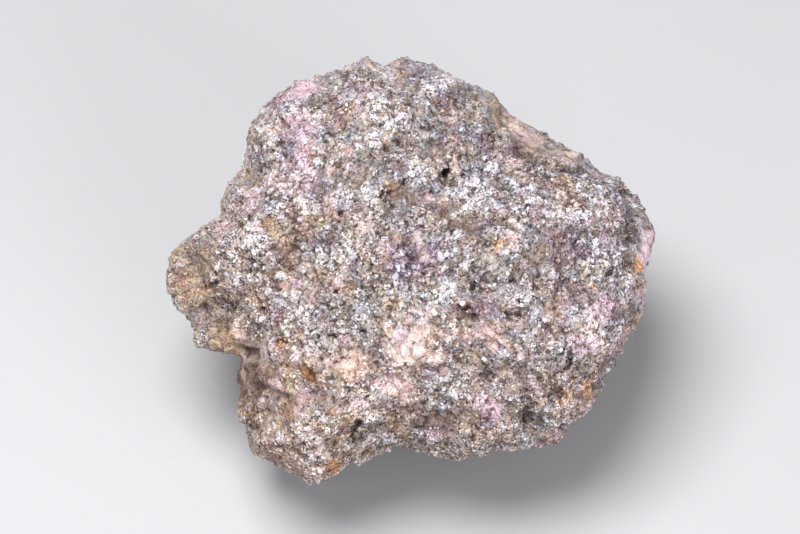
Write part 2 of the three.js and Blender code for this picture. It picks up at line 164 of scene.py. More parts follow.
# Patches of colour on the broad face: right, up, half width and height, strength in tenths, and any turn in degrees.
PATCHES = {
    "pink": [
        (-0.4, -12.4, 3.8, 2.6, 8.5, 20), (1.2, -9.4, 2.4, 2.2, 7.5), (3.6, -13, 1.8, 1.6, 6),
        (-3.2, -9.8, 1.4, 1.8, 6), (7.4, -10.2, 2, 0.9, 6, -20), (11.8, -10, 2.6, 1.7, 8, -30),
        (-8.5, -14.5, 3.2, 2.3, 9), (-2.5, -17.5, 2.8, 1.7, 8), (2, -7, 1.8, 1.5, 6), (13, -10.9, 2.8, 0.9, 8, -50),
        (-7.5, 6.3, 1.4, 1.2, 6), (14.4, 4.4, 1.3, 1.9, 8, -30), (27, -20.5, 2.6, 1.2, 6, 30),
        (16.8, 21.5, 2, 1.3, 10, -45), (19.3, 19.6, 1.5, 1.2, 8, -40), (24.8, 17.1, 1.6, 0.9, 7, -30),
    ],
    "rose": [
        (-16.2, 27.4, 3, 1.8, 10, 20), (-16.8, 21.5, 2.4, 3.2, 10), (-16.5, 16, 2.2, 3, 9), (-20, 12.5, 3, 1.6, 7),
        (-25, 10, 2.6, 2, 8, 30), (36.6, 2, 1.5, 6, 10), (28, 15.5, 2.6, 1.1, 9, -35), (28.6, -6.5, 3.6, 1.6, 9, 30),
        (25.5, -11.5, 3, 2, 8), (11.7, -20.7, 2, 1.5, 9), (31.5, -11, 1.6, 2.4, 7), (35, -4, 1, 2.2, 8),
        (22.5, -25, 2.5, 1.2, 5, 20), (-28.5, 6.5, 2, 1.2, 6, 30),
    ],
    "violet": [
        (-19, 26, 3.6, 3, 9, 20), (-16.5, 18, 2, 3, 8), (5, 26, 2.2, 2.4, 7), (-0.5, 0.8, 5, 3.8, 7.5),
        (22, 5, 2.2, 2.2, 6), (26.5, 2.5, 2.8, 2, 8), (30, -7, 1.6, 2.4, 4), (25, -4, 2.4, 2, 5),
        (12, -22, 2, 1.6, 6), (-20, -6.8, 1.8, 1.8, 9), (19, 9.5, 2, 1.8, 5), (16, 18, 2, 1.6, 5),
        (1, 30.5, 4, 1.4, 5), (13, -6, 3.2, 2.2, 4),
    ],
    "umber": [
        (-17, 1, 2.2, 1.6, 7), (-24, 7, 0.8, 1.2, 6), (-12, -19.5, 3.2, 2, 6, -40), (-20.5, -14, 3, 3, 5),
        (-32, 3, 2.4, 2.4, 3), (0, 6, 2.8, 2.4, 8), (-1, 10.6, 3.6, 1.8, 8, -10), (-2.6, 8, 1.8, 1.6, 6),
        (5.5, 8, 4.4, 1.3, 8, -30), (-8, 22, 2.2, 1.3, 7), (0.6, 28.2, 1.7, 1, 6), (1.2, 23.6, 1.6, 0.9, 5),
        (3, 18, 1.7, 1.7, 6), (20, -9.5, 1.7, 1.3, 8), (10.5, -16, 1.7, 2, 8), (17, -20.5, 1.9, 2.8, 7.5),
        (22, -18.5, 1.3, 1.1, 8), (-25, -17, 4.4, 4.4, 10), (-20, -21, 4.4, 2.8, 7), (19, 2, 1.8, 4.2, 5),
        # The umber patch at (33, 4.5) is a painted shadow along the step down to the right ledge.
        (33, 4.5, 0.9, 3.2, 7, -14), (-29, -8, 3.8, 1.5, 5, -35), (17, 18, 3, 1.4, 5, -50), (4, -22.5, 4, 1.8, 7, 15),
        (-12, 13, 3.4, 2.2, 4), (29.5, -15, 1.8, 3, 5, -35),
    ],
    "frost": [
        (9.5, 11, 2.8, 2.6, 10), (6, 4.8, 1.2, 1.3, 8), (-1.2, -2.9, 2.2, 1.2, 6), (-0.5, 16, 3.2, 1, 9, -40),
        (-2, 23, 2.8, 1, 8, -35), (5.5, 29, 2.5, 1.6, 8, -20), (-18, 25, 3.6, 2, 8, 30), (-4, 30, 2.6, 1.5, 7),
        (-23.5, 16.5, 2, 2, 7), (-15, 9, 1.9, 1.7, 8), (-24, 4.5, 2.2, 4, 8, 20), (-21.5, 9, 2.4, 1.6, 8),
        (-26, 11.5, 1.6, 1.2, 7), (-19, -5, 3.2, 1.9, 8), (25, 17, 2.6, 1.3, 7, -40), (32.5, -3, 1.5, 2.6, 7),
        # The frost patch at (-23.5, 16.5) is painted light, lightening a shaded hollow in the outline.
        (24, 8, 4, 2, 7), (16, -4.8, 2.6, 1.2, 7), (28, -9, 2.6, 2, 6), (21, -1.5, 2.2, 1.4, 5),
        (-6.5, 11.5, 2.2, 2, 7), (-10, 3, 2.4, 3.2, 6), (-12.6, 1.6, 2.4, 1.8, 9), (3, 27.5, 1.6, 1.2, 8),
        (2.4, 24.9, 0.7, 0.5, 10), (-5.4, 18.9, 1, 0.8, 10), (1.5, 13.3, 2, 1.8, 9), (-9.5, 10.6, 2.6, 1.2, 9),
        (-11.5, 15.8, 1.6, 1, 8), (-8.5, 26.5, 2.6, 1.2, 7, 20),
    ],
    "tan": [
        (-33, -2, 4.4, 5, 5), (-28, -11, 4.6, 3.2, 6, -20), (-24.5, -20, 3.4, 6, 8), (-18.5, -22, 3.4, 2.8, 4.5),
        (-11, -15, 5, 4, 5), (-21, -4, 4, 4, 5), (-21, -27, 3.4, 2, 5, -30), (14, 24.4, 3.2, 1.8, 12, -70),
        (24.2, 18.2, 2.8, 1.5, 12, -15), (18.5, 18.4, 3, 2, 8, -40), (-8, 13, 2.2, 1.7, 7), (9, 17, 1.7, 1.7, 6),
        (25, 10, 1.8, 1.2, 7), (-21, 6.5, 2.8, 1.8, 8), (-20.5, 0, 3.2, 2.2, 7), (31, -6, 2.2, 2.2, 6),
        (23.5, -20.5, 3.2, 2.6, 8, 20), (-12, -20, 3.8, 3, 5.5, -40), (14, 4, 2.4, 1.8, 8), (34, -0.5, 1.2, 3.4, 8),
        (-11, -27.5, 2.8, 2, 3, 20),
    ],
    "worn": [
        (-32, -1, 3.4, 4.5, 5), (-25.5, -15, 4.5, 6.5, 9, -20), (-20.5, -20.5, 5, 4.5, 7),
        (-27, -10.5, 5, 2.2, 7, -25), (-14, -14.5, 4, 2, 6, -45), (13.5, 25.2, 4.4, 2.6, 13, -60),
        (18, 20.6, 5, 3, 14, -40), (23.5, 18.4, 5, 2.1, 14, -22), (28.8, 16.4, 3.2, 1.2, 12, -30),
        (36, 2.5, 1.9, 6, 13), (-0.5, -11, 4, 4, 5), (-10, -14.5, 3, 2, 5), (0, 10.5, 3.6, 1.4, 8, -10),
        (2.5, 17.6, 2.2, 1.2, 8), (-8.4, 22.3, 1.8, 1.1, 8), (-0.6, 27.4, 2, 1.2, 6), (-16, 0.8, 2.4, 1.8, 8),
        (-12.8, 13.9, 1.9, 1.4, 7), (-10.4, 16.6, 2, 1.2, 6), (20, 0, 1.6, 2.4, 6), (20.6, -6.5, 2.6, 2.2, 5),
        (8.3, -7.6, 1.5, 1.1, 8, -20), (11.8, 1, 1.8, 2.2, 6), (-16.2, 27.4, 2.4, 1.4, 7, 20),
    ],
    "rust": [
        (13, 3.6, 0.6, 1, 10), (26.8, -18.1, 1, 1.8, 11, -15), (-11.2, -29.9, 1.1, 0.7, 11, 30),
        (34.2, 0.9, 0.5, 2, 11, -10), (34.6, -2.5, 0.5, 0.9, 10), (-19.4, -10.5, 0.5, 1.2, 11),
        (-15.4, -15.8, 1.9, 0.7, 11, -48), (19.9, 15.9, 0.8, 0.4, 9), (23.3, 9.3, 1.6, 0.3, 8, 5),
        (-3.3, 31.6, 0.7, 0.5, 10), (-26.8, -14.4, 0.4, 1.3, 9), (-21.2, 6.5, 0.8, 0.6, 7),
        (-11.8, -21.6, 1, 0.5, 7, -40), (-17.2, -21.6, 0.6, 0.6, 6), (27.3, -2.5, 0.5, 0.6, 9),
        (22.3, -20.1, 0.8, 0.4, 9, -20), (34.6, -8.1, 0.4, 0.8, 8), (-31.5, -3, 0.6, 0.5, 7),
    ],
}
# The same minerals all over, in small weak patches, and beyond the broad face in large strong ones: the size, level
# and strength of the first and of the second, and the seed of both.
DRIFT = {
    "pink": (3.4, 0.3, 0.5, 11, 0.3, 0.9, 31),
    "rose": (3, 0.3, 0.6, 11, 0.3, 0.9, 38),
    "violet": (3.2, 0.25, 0.6, 12, 0.3, 0.8, 32),
    "umber": (2.6, 0.3, 0.5, 14, 0.15, 0.8, 33),
    "frost": (2.4, 0.15, 0.9, 9, 0.2, 0.9, 34),
    "tan": (3.8, 0.2, 0.6, 12, 0.15, 0.9, 36),
    "worn": (3, 0.3, 0.6, 8, 0.25, 0.8, 37),
    "rust": (1.6, 0.75, 0.7, 4, 0.7, 1, 35),
}
DRIFT_STEP = 2.5
PATCH_SOFT = 1.35
# Frost lies along the small noise's zero lines: their half width, the step there, and the slower noise's size, level
# and strength that let it.
BRANCHING = {"frost": (0.2, 4, 7, 0.7, 1.5)}
# The hollow mask is painted shade in cracks, pits, pinholes and low places.
MASKS = [*PATCHES, "hollow", "warm", "rosy"]
PATCH_BEND = [(1.7, 1.2, 51), (0.8, 0.6, 61)]  # size, reach and first seed of the noise that breaks the patches' edges
# Cracks: the size and seed of the noise whose zero lines they follow, their half width there, and the size, seed,
# level and strength of the noise that breaks them.
CRACKS = (2.4, 71, 0.09, 5, 75, 0.5, 2)
# Painted shade: how dark the cracks are painted.
CRACK_SHADE = 0.8
PAINTED_SHADE = (0.7, 0.8, 0.5, 0.5)  # painted shade: how dark pits, pinholes and low places are painted, and how low the last ones lie
CRACK_DEPTH = 0.25
PATCH_RELIEF = {"umber": -0.2, "frost": 0.35, "worn": -0.3}  # millimetres that the full patches sink or rise by
# Slow changes of tint all over: size, strength and seed of each layer.
TINT_DRIFT = {
    "warm": [(0.9, 0.34, 43), (1.8, 0.5, 44), (4, 0.42, 45)],
    "rosy": [(0.9, 0.38, 46), (1.8, 0.5, 47), (4, 0.38, 48)],
}
WARM_WAY = (-0.75, -0.66)  # the broad face is warmer towards its lower left
WARM_SLOPE = 0.007
COOL_MIDDLE = 0.15  # and cooler in its middle, fading over this many millimetres
COOL_REACH = 14
ROSY_LESS = 0.38
RIM_WORN = (0.05, 0.3, 0.6)  # the worn band round the rim: its middle and half width as sines, and how worn it is
UMBER_WORN = 0.6  # the umber patches count as worn by this share
FROST_LESS = 0.7  # by this share worn rock has less frost
RUST_SPECKS = (0.5, 65, 0.8)  # the size, seed and level of the noise that breaks the rust up

FLOOR_CLEAR = 0.5  # no flake or grain sits lower than this, in millimetres
# How pale a crystal is: noise that neighbours share (size, strength and added seed), its own chance, and the patches.
CLUMPS = [(1.3, 0.42, 0), (0.65, 0.3, 7)]
LONE_SHARE = 0.5
SPECKLE = 0.5  # how much the chance changes within a crystal
PATCH_CHANCE = {"frost": 0.18, "violet": -0.11, "umber": -0.15}
# Painted shade between crystals: the skin is darkened there by a lower chance.
GAP_SHADE = 0.6  # the skin's own chance is less by this factor between crystals, but not where the rock is worn
HOLLOW_BARE = 0.95  # by this share fewer crystals lie in hollows
SIZE_SPREAD = 0.3  # the width of the bell curve that the logarithm of their size follows
WORN_LESS = 0.35  # by this share they are smaller where the rock is worn
CRYSTAL_GRIT = (5000, 0.00004)  # how many specks of grit there are to a metre, and their height
SKIN_GRIT = (3400, 0.0001)
PLATE = (5, 0, 0.7)  # each form's sides, height of its point and depth of its root, as shares of its radius
GRAIN = (4, 0.6, 0.9)
GRIT = (3, 0, 1)


def corner_value(i, j, k, seed):
    """A repeatable number from -1 to 1 for each lattice corner: its whole numbers and the seed, each times a large
    prime, are joined by exclusive or and mixed by shifts and products, in 32 bits."""
    low = 0xFFFFFFFF
    h = (i * 374761393 ^ j * 668265263 ^ k * 1440662683 ^ seed * 974634777) & low
    h = ((h ^ (h >> 13)) * 1274126177) & low
    h = ((h ^ (h >> 15)) * 461845907) & low
    return (h ^ (h >> 16)) / 2147483648 - 1


def ease(t):
    """A step from 0 to 1 that starts and ends level: 6 t^5 - 15 t^4 + 10 t^3, with t held between 0 and 1."""
    t = np.clip(t, 0, 1)
    return t * t * t * (t * (t * 6 - 15) + 10)


def noise(points, seed):
    """Smooth noise, about -1 to 1: each corner of the unit lattice has its own random slope, and the eight slopes'
    planes round a point are blended with the eased share along each axis."""
    cell = np.floor(points).astype(np.int64)
    part = points - cell
    share = ease(part)
    total = np.zeros(len(points))
    for corner in np.ndindex(2, 2, 2):
        at = cell + corner
        away = part - corner
        weight = np.prod(np.where(corner, share, 1 - share), axis=1)
        slopes = [corner_value(at[:, 0], at[:, 1], at[:, 2], seed + n) for n in range(3)]
        total += weight * sum(slope * away[:, n] for n, slope in enumerate(slopes))
    return total * NOISE_GAIN


def unit(rows):
    return rows / np.linalg.norm(rows, axis=-1, keepdims=True)


tilt = math.radians(BROAD_FACE_TILT)
FACE = np.array([[1, 0, 0], [0, math.sin(tilt), math.cos(tilt)], [0, -math.cos(tilt), math.sin(tilt)]])
VIEWS = {
    "face": FACE,
    "rear": np.array([[-1, 0, 0], [0, 0, 1], [0, 1, 0]], float),
    "left": np.array([[0, -1, 0], [0, 0, 1], [-1, 0, 0]], float),
    "right": np.array([[0, 1, 0], [0, 0, 1], [1, 0, 0]], float),
}
LATTICE = np.array(Quaternion(Vector(GRAIN_AXIS).normalized(), GRAIN_TURN).to_matrix())


def knobbly_reach(directions):
    """The body's reach is the soft minimum, by a power mean, of how far each direction goes to the sides' planes.
    Each layer of knobs adds its height times twice the noise's absolute value, less the sink."""
    total = 0
    for *looks, distance in SIDES:
        facing = np.maximum(0, directions @ unit(np.array(looks, float))) / distance
        total = total + facing ** EDGE_SHARPNESS
    reach = total ** (-1 / EDGE_SHARPNESS)
    at = (directions * reach[:, None]) @ LATTICE.T
    grown = reach.copy()
    for size, height, seed in KNOBS:
        grown += height * (2 * np.hypot(noise(at / size, seed), CREASE) - KNOB_SINK)
    return grown


def rim_stretch():
    """At even steps round the rim: the outline's distance over the widest reach of the knobbly body, seen square on
    to the outline's plane. The second table is the running mean of the first, its broad swells alone."""
    angles = np.arange(RIM_STEPS) * TURN / RIM_STEPS
    first, last, step = RIM_LEANS
    leans = np.radians(np.arange(first, last + 1, step))
    angle, lean = np.meshgrid(angles, leans, indexing="ij")
    flat = np.stack([np.cos(angle) * np.cos(lean), np.sin(angle) * np.cos(lean), np.sin(lean)], -1)
    reach = knobbly_reach(flat.reshape(-1, 3) @ FACE).reshape(angle.shape)
    widest = (reach * np.cos(lean)).max(1)
    right, up = np.array(OUTLINE, float).T
    outline = np.interp(angles, np.arctan2(up, right), np.hypot(right, up), period=TURN)
    stretch = outline / widest
    swell = round(BROAD_SWELL / 360 * RIM_STEPS)
    broad = np.mean([np.roll(stretch, shift) for shift in range(-swell, swell + 1)], axis=0)
    return angles, stretch, broad


def fold_rise(places, folds):
    """How far folds raise or sink places on the broad face: each one's rise, times e to the minus square of the
    distance from its line over its width."""
    total = np.zeros(len(places))
    for *ends, width, rise in folds:
        start, end = np.reshape(ends, (2, 2))
        way = end - start
        share = np.clip((places - start) @ way / (way @ way), 0, 1)
        off = np.linalg.norm(places - start - share[:, None] * way, axis=1)
        total += rise * np.exp(-(off / width) ** 2)
    return total


def lump_points(directions):
    """The lump's surface round its middle: the knobbly reach along each direction, times the rim's stretch, whose
    broad swells fade slowly and whose details fade fast out of the outline's plane, and the folds."""
    angles, stretch, broad = rim_stretch()
    right, up, out = (directions @ FACE.T).T
    angle = np.arctan2(up, right)
    swell = np.interp(angle, angles, broad, period=TURN)
    detail = np.interp(angle, angles, stretch, period=TURN) - swell
    scale = np.ones(len(directions))
    for amount, (full, gone) in ((swell - 1, BROAD_STRETCH), (detail, DETAIL_STRETCH)):
        scale += amount * (1 - ease((np.abs(out) - full) / (gone - full)))
    reach = knobbly_reach(directions) * scale
    folded = fold_rise(np.stack([right, up], 1) * reach[:, None], FOLDS) * ease(out / FOLD_FADE)
    return directions * (reach + folded)[:, None]


def gather(directions):
    """Draws corners together where the detail is: the broad face's outward axis is added to each direction, and then
    each place moves towards each pit near it, by a bell curve's share of the way."""
    points = lump_points(unit(directions + FACE_PULL * FACE[2]))
    shift = np.zeros_like(points)
    total = np.zeros(len(points))
    for view, at, size, _, _ in HOLLOWS:
        right, up, out = VIEWS[view]
        x = at[0] - points @ right
        y = at[1] - points @ up
        reach = PIT_REACH[0] + PIT_REACH[1] * size[0]
        share = PIT_PULL * np.exp(-(x * x + y * y) / reach ** 2) * (points @ out > 0)
        shift += right * (share * x)[:, None] + up * (share * y)[:, None]
        total += share
    return unit(points + shift / np.maximum(1, total / PIT_PULL_MOST)[:, None])


def in_ellipse(places, middle, halves, turn):
    """Flat places in an ellipse's own axes, turned with it, where its edge lies at 1 from its middle."""
    turned = math.radians(turn)
    spin = np.array([[math.cos(turned), -math.sin(turned)], [math.sin(turned), math.cos(turned)]])
    return (places - middle) @ spin / halves


def cut_pits(points):
    """Pushes each pit's floor in, against the view's outward direction, by its depth times the square root of one
    less the squared distance from its middle in the pit's own ellipse, and slanted towards one long side. Also
    gives how deep each point lies."""
    deep = np.zeros(len(points))
    moved = points.copy()
    for view, at, size, turn, depth in HOLLOWS:
        out = VIEWS[view][2]
        along = in_ellipse(points @ VIEWS[view][:2].T, at, np.array(size) / 2 * PIT_NARROW, turn)
        ragged = 1 + PIT_RAGGED * noise(points / (0.7 * min(size)), PIT_SEED)
        inside = 1 - (np.hypot(*along.T) / np.maximum(ragged, 0.3)) ** 2
        hollow = np.where(points @ out > 0, np.sqrt(np.maximum(0, inside)), 0)
        hollow *= 1 + PIT_SLANT * np.clip(along[:, 1], -1, 1)
        moved -= out * (depth * hollow)[:, None]
        deep = np.maximum(deep, hollow / (1 + PIT_SLANT / 2))
    return moved, deep


def cube_ball(splits):
    """Unit directions on a ball: each of a cube's six faces is a grid of two parameters from -1 to 1, bent by the
    tangent so that its cells come out even, and pushed onto the ball. Corners that faces share are one corner.
    Also gives the squares' corners, and their places on a map of three faces by two."""
    steps = np.arange(splits + 1)
    row, column = np.meshgrid(steps, steps, indexing="ij")
    keys, corners, places = [], [], []
    first = (row * (splits + 1) + column)[:-1, :-1].ravel()
    square = np.stack([first, first + splits + 1, first + splits + 2, first + 1], 1)
    for face in range(6):
        axis, far = divmod(face, 2)
        lattice = np.empty((3, row.size), np.int64)
        lattice[axis] = splits * far
        lattice[(axis + 1) % 3] = row.ravel()
        lattice[(axis + 2) % 3] = column.ravel()
        keys.append(lattice)
        corners.append((square if far else square[:, ::-1]) + face * row.size)
        flat = np.stack([column.ravel(), row.ravel()], 1) / splits * 0.98 + 0.01
        places.append((flat + (face % 3, face // 3)) / (3, 2))
    lattice, index = np.unique(np.concatenate(keys, 1), axis=1, return_inverse=True)
    directions = unit(np.tan((lattice.T / splits - 0.5) * math.pi / 2))
    corners = np.concatenate(corners)
    return directions, index.ravel()[corners], np.concatenate(places)[corners]


def corner_normals(points, squares):
    """At each corner, the mean direction of the squares that meet there, each the cross product of its diagonals."""
    normals = np.zeros_like(points)
    faces = np.cross(points[squares[:, 2]] - points[squares[:, 0]], points[squares[:, 3]] - points[squares[:, 1]])
    for n in range(4):
        np.add.at(normals, squares[:, n], faces)
    return unit(normals)


def cracks(points):
    """How much each point lies in a crack: close to a zero line of noise, where slower noise lets it open."""
    size, seed, width, slow, other, level, share = CRACKS
    near = 1 - ease(np.abs(noise(points / size, seed)) / width)
    return near * ease(level + share * noise(points / slow, other))


def colour_masks(points):
    """How much of each mineral colour lies at each point, once noise has shifted the point about. On the broad face
    it is a soft ellipse for each patch, and elsewhere the noise above a level; the slow tints are sums of noise
    round a half. A band round the rim is worn too, and noise breaks the rust into specks. The hollow mask is
    painted shade: here that of the cracks alone; the skin adds painted shade in its pits, pinholes and low places."""
    hollow = CRACK_SHADE * cracks(points)
    for size, reach, seed in PATCH_BEND:
        points = points + reach * np.stack([noise(points / size, seed + n) for n in range(3)], 1)
    flat = points @ FACE.T
    out = unit(flat)[:, 2]
    seen = ease((out + 0.3) / 0.4)
    middle, half, amount = RIM_WORN
    rim = amount * (1 - ease(np.abs(out - middle) / half))
    masks = {name: 0.5 + sum(share * noise(points / size, seed) for size, share, seed in layers)
             for name, layers in TINT_DRIFT.items()}
    cool = COOL_MIDDLE * np.exp(-((flat[:, :2] / COOL_REACH) ** 2).sum(1)) * seen
    masks["warm"] += WARM_SLOPE * flat[:, :2] @ WARM_WAY - cool
    masks["rosy"] -= ROSY_LESS + cool
    for name, patches in PATCHES.items():
        small, low, weak, large, high_level, strong, seed = DRIFT[name]
        level = noise(points / small, seed)
        if name in BRANCHING:
            half, step, slow, base, share = BRANCHING[name]
            level = (half - np.abs(level)) * step * ease(base + share * noise(points / slow, seed + 20))
        drift = weak * ease((level - low) * DRIFT_STEP)
        hidden = strong * ease((noise(points / large, seed + 40) - high_level) * DRIFT_STEP)
        total = np.zeros(len(points))
        for right, up, wide, high, amount, *turn in patches:
            within = in_ellipse(flat[:, :2], (right, up), (wide, high), sum(turn))
            total = np.maximum(total, amount / 10 * ease(PATCH_SOFT - np.hypot(*within.T)))
        masks[name] = np.maximum(drift, total * seen + hidden * (1 - seen))
    masks["worn"] = np.clip(np.maximum.reduce([masks["worn"], UMBER_WORN * masks["umber"], rim]), 0, 1)
    masks["frost"] = masks["frost"] * (1 - FROST_LESS * masks["worn"])
    size, seed, level = RUST_SPECKS
    masks["rust"] = masks["rust"] * ease(level + noise(points / size, seed))
    masks["hollow"] = hollow
    return masks


def put(name, data):
    """A new object in the scene."""
    piece = bpy.data.objects.new(name, data)
    bpy.context.scene.collection.objects.link(piece)
    return piece


def make_mesh(name, points, faces, smooth, places, masks, material):
    """Puts arrays into a new object's mesh, with its map and attributes, and gives it its body and slot."""
    mesh = bpy.data.meshes.new(name)
    sides = faces.shape[1]
    mesh.vertices.add(len(points))
    mesh.vertices.foreach_set("co", points.astype(np.float32).ravel())
    mesh.loops.add(faces.size)
    mesh.loops.foreach_set("vertex_index", faces.astype(np.int32).ravel())
    mesh.polygons.add(len(faces))
    mesh.polygons.foreach_set("loop_start", np.arange(len(faces), dtype=np.int32) * sides)
    mesh.polygons.foreach_set("loop_total", np.full(len(faces), sides, np.int32))
    mesh.polygons.foreach_set("use_smooth", np.full(len(faces), smooth))
    layer = mesh.uv_layers.new(name=BAKE_MAP)
    layer.data.foreach_set("uv", places.astype(np.float32).ravel())
    for mask, values in masks.items():
        attribute = mesh.attributes.new(mask, "FLOAT", "POINT")
        attribute.data.foreach_set("value", values.astype(np.float32))
    mesh.update(calc_edges=True)
    mesh.validate()
    mesh.materials.append(material)
    piece = put(name, mesh)
    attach(piece, "root")
    return piece


def read_skin():
    """The skin's corners, squares, normals and masks, from its mesh."""
    piece = bpy.data.objects.get(SKIN)
    if piece is None:
        raise RuntimeError("the skin is made first: flakes and grains sit on it")
    mesh = piece.data

    def read(rows, key, width=1, kind=np.float32):
        values = np.empty(len(rows) * width, kind)
        rows.foreach_get(key, values)
        return values

    points = read(mesh.vertices, "co", 3).reshape(-1, 3).astype(float)
    squares = read(mesh.loops, "vertex_index", kind=np.int32).reshape(-1, 4)
    masks = {name: read(mesh.attributes[name].data, "value") for name in MASKS}
    return points, squares, corner_normals(points, squares), masks


def scatter(rng, count, liking):
    """Random places on the skin: triangles are drawn by their area times how much the mineral likes them, and a
    place in each by two random shares, folded back where they pass its far edge."""
    points, squares, normals, masks = read_skin()
    triangles = np.concatenate([squares[:, [0, 1, 2]], squares[:, [0, 2, 3]]])
    a, b, c = (points[triangles[:, n]] for n in range(3))
    area = np.linalg.norm(np.cross(b - a, c - a), axis=1)
    middle = {name: values[triangles].mean(1) for name, values in masks.items()}
    above = (a[:, 2] + b[:, 2] + c[:, 2]) / 3 > FLOOR_CLEAR * MM
    liked = np.maximum(0, liking(middle)) * (1 - HOLLOW_BARE * middle["hollow"])
    heap = np.cumsum(area * liked * above)
    drawn = triangles[np.searchsorted(heap, rng.random(count) * heap[-1])]
    share = rng.random((count, 2))
    share = np.where(share.sum(1, keepdims=True) > 1, 1 - share, share)
    weights = np.stack([1 - share.sum(1), share[:, 0], share[:, 1]], 1)
    place = np.einsum("nk,nkx->nx", weights, points[drawn])
    normal = unit(np.einsum("nk,nkx->nx", weights, normals[drawn]))
    found = colour_masks(place / MM - MIDDLE)
    # The crystals take the painted shade of the skin's pits, pinholes and low places, besides that of their own
    # cracks.
    found["hollow"] = np.maximum(found["hollow"], (weights * masks["hollow"][drawn]).sum(1))
    return place, normal, found


def tilted_frames(rng, normal, tilt_degrees):
    """Three axes for each grain: its up is the skin's normal leaned over towards a random side, by a bell curve as
    wide as the tilt, and the other two are turned at random round it."""
    count = len(normal)
    spin = rng.random(count) * TURN
    lean = np.abs(rng.normal(0, math.radians(tilt_degrees), count))
    helper = np.where(np.abs(normal[:, 2:]) < 0.9, (0, 0, 1), (1, 0, 0))
    side = unit(np.cross(normal, helper))
    other = np.cross(normal, side)
    away = side * np.cos(spin)[:, None] + other * np.sin(spin)[:, None]
    up = unit(normal * np.cos(lean)[:, None] + away * np.sin(lean)[:, None])
    first = unit(np.cross(up, np.cross(normal, away)))
    twist = (rng.random(count) * TURN)[:, None]
    second = np.cross(up, first)
    return first * np.cos(twist) + second * np.sin(twist), second * np.cos(twist) - first * np.sin(twist), up


def map_cells(count, shape):
    """Lays one small flat shape in its own cell of a square map for each grain, in rows."""
    rows = math.ceil(math.sqrt(count))
    cell = np.stack(np.divmod(np.arange(count), rows)[::-1], 1)
    return ((cell[:, None] + 0.5 + shape * 0.46) / rows).reshape(-1, 2)


def crystals(rng, place, axes, radius, sides, height, root):
    """Small crystals. Round each one's middle lies a rim of points, at even angles and at one radius but for chance,
    across its own axes. Its top is flat, or a point at the height, and its sides run down to one root point. Also
    gives the triangles, their places on the map and how many points each crystal has."""
    count = len(place)
    first, second, up = (axis[:, None] for axis in axes)
    angle = (np.arange(sides) + rng.normal(0, 0.13, (count, sides))) / sides * TURN
    reach = (radius[:, None] * rng.uniform(0.55, 1.25, (count, sides)))[..., None]
    rim = place[:, None] + (first * np.cos(angle)[..., None] + second * np.sin(angle)[..., None]) * reach
    rim += up * (radius[:, None] * rng.normal(0, 0.3 * height, (count, sides)))[..., None]
    aside = rng.normal(0, 0.2, (count, 2, 1)) * radius[:, None, None] * first
    ends = place[:, None] + aside + up * radius[:, None, None] * np.array([[height], [-root]])
    ends = ends if height else ends[:, 1:]
    points = np.concatenate([rim, ends], 1)
    each = points.shape[1]
    ring = np.arange(sides)
    after = (ring + 1) % sides
    corner = np.stack([np.cos(ring / sides * TURN), np.sin(ring / sides * TURN)], 1) * 0.55
    outer = np.stack([np.cos((ring + 0.5) / sides * TURN), np.sin((ring + 0.5) / sides * TURN)], 1)
    pattern = [[n, after[n], sides] for n in ring] if height else [[0, n, n + 1] for n in ring[1:-1]]
    shape = [np.append(corner, [[0, 0]], 0)[top] for top in pattern]
    pattern += [[n, each - 1, after[n]] for n in ring]
    shape += [[corner[n], outer[n], corner[after[n]]] for n in ring]
    faces = (np.array(pattern) + np.arange(count)[:, None, None] * each).reshape(-1, 3)
    return points.reshape(-1, 3), faces, map_cells(count, np.array(shape, float).reshape(-1, 2)), each


def new_group(name, inputs, outputs):
    """A shader node group with its sockets, and its two end nodes."""
    group = bpy.data.node_groups.new(name, "ShaderNodeTree")
    for side, sockets in (("INPUT", inputs), ("OUTPUT", outputs)):
        for label, kind in sockets.items():
            group.interface.new_socket(label, in_out=side, socket_type="NodeSocket" + kind)
    return group, group.nodes.new("NodeGroupInput"), group.nodes.new("NodeGroupOutput")


def feed(tree, node, values):
    """Puts numbers and colours into the node's sockets, and links sockets to them."""
    for key, value in values.items():
        if isinstance(value, bpy.types.NodeSocket):
            tree.links.new(value, node.inputs[key])
        else:
            node.inputs[key].default_value = value if isinstance(value, (int, float)) else (*value, 1)


def math_node(tree, operation, *values):
    """One Math node."""
    node = tree.nodes.new("ShaderNodeMath")
    node.operation = operation
    feed(tree, node, dict(enumerate(values)))
    return node.outputs[0]


def mix_node(tree, factor, a, b, blend="MIX"):
    """One colour Mix node."""
    node = tree.nodes.new("ShaderNodeMix")
    node.data_type = "RGBA"
    node.blend_type = blend
    feed(tree, node, {0: factor, 6: a, 7: b})
    return node.outputs[2]


def range_node(tree, value, low, high, to_low=0, to_high=1):
    """One Map Range node with a smooth step."""
    node = tree.nodes.new("ShaderNodeMapRange")
    node.interpolation_type = "SMOOTHSTEP"
    feed(tree, node, {"Value": value, "From Min": low, "From Max": high, "To Min": to_low, "To Max": to_high})
    return node.outputs["Result"]


def srgb(red, green, blue):
    """A colour as seen, 0 to 255, as the light values that nodes take."""
    seen = np.array([red, green, blue]) / 255
    return tuple(np.where(seen <= 0.04045, seen / 12.92, ((seen + 0.055) / 1.055) ** 2.4))


